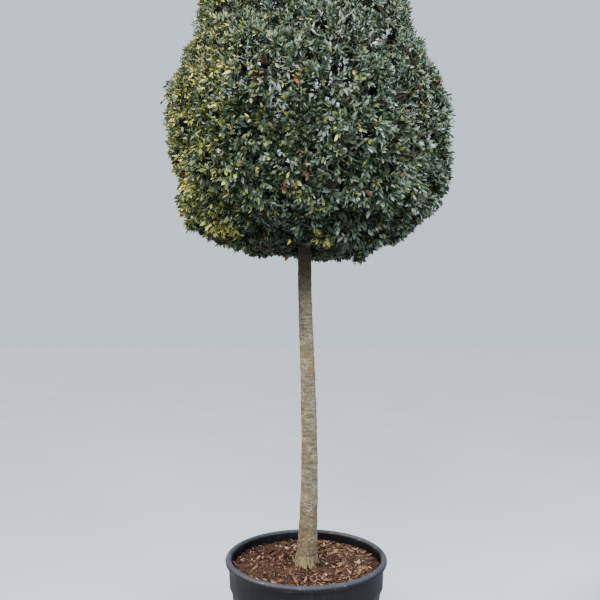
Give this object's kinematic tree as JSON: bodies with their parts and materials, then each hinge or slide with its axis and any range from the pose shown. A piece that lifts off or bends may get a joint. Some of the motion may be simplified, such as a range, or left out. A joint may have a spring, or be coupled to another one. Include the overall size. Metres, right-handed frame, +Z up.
{
  "type": "potted holm oak tree",
  "caption": "Evergreen oak grown as a standard: a clear straight trunk carries short boughs and a dense egg-shaped crown of small leaves, rooted in a round tapered nursery pot filled with soil.",
  "frame": {"origin": "centre of the pot's flat underside", "axes": "+Z up along the trunk, +Y away from the viewer of the reference picture, +X to the viewer's right"},
  "size_m": [1.5118, 1.4928, 4.0253],
  "materials": {
    "pot": "weathered, satin",
    "soil": "rough, littered with dry leaves",
    "bark": "rough, finely cracked",
    "foliage": "leathery, pale underneath"
  },
  "bodies": {
    "root": {"pot": "pot", "soil": "soil", "trunk": "bark", "bough_skirt_1": "bark", "bough_skirt_2": "bark", "bough_skirt_3": "bark", "bough_skirt_4": "bark", "bough_lower_1": "bark", "bough_lower_2": "bark", "bough_lower_3": "bark", "bough_lower_4": "bark", "bough_lower_5": "bark", "bough_lower_6": "bark", "bough_middle_1": "bark", "bough_middle_2": "bark", "bough_middle_3": "bark", "bough_middle_4": "bark", "bough_middle_5": "bark", "bough_middle_6": "bark", "bough_upper_1": "bark", "bough_upper_2": "bark", "bough_upper_3": "bark", "bough_upper_4": "bark", "bough_upper_5": "bark", "bough_top_1": "bark", "bough_top_2": "bark", "bough_top_3": "bark", "foliage_skirt_1": "foliage", "foliage_skirt_2": "foliage", "foliage_skirt_3": "foliage", "foliage_skirt_4": "foliage", "foliage_lower_1": "foliage", "foliage_lower_2": "foliage", "foliage_lower_3": "foliage", "foliage_lower_4": "foliage", "foliage_lower_5": "foliage", "foliage_lower_6": "foliage", "foliage_middle_1": "foliage", "foliage_middle_2": "foliage", "foliage_middle_3": "foliage", "foliage_middle_4": "foliage", "foliage_middle_5": "foliage", "foliage_middle_6": "foliage", "foliage_upper_1": "foliage", "foliage_upper_2": "foliage", "foliage_upper_3": "foliage", "foliage_upper_4": "foliage", "foliage_upper_5": "foliage", "foliage_top_1": "foliage", "foliage_top_2": "foliage", "foliage_top_3": "foliage", "foliage_tip_1": "foliage"}
  },
  "joints": []
}
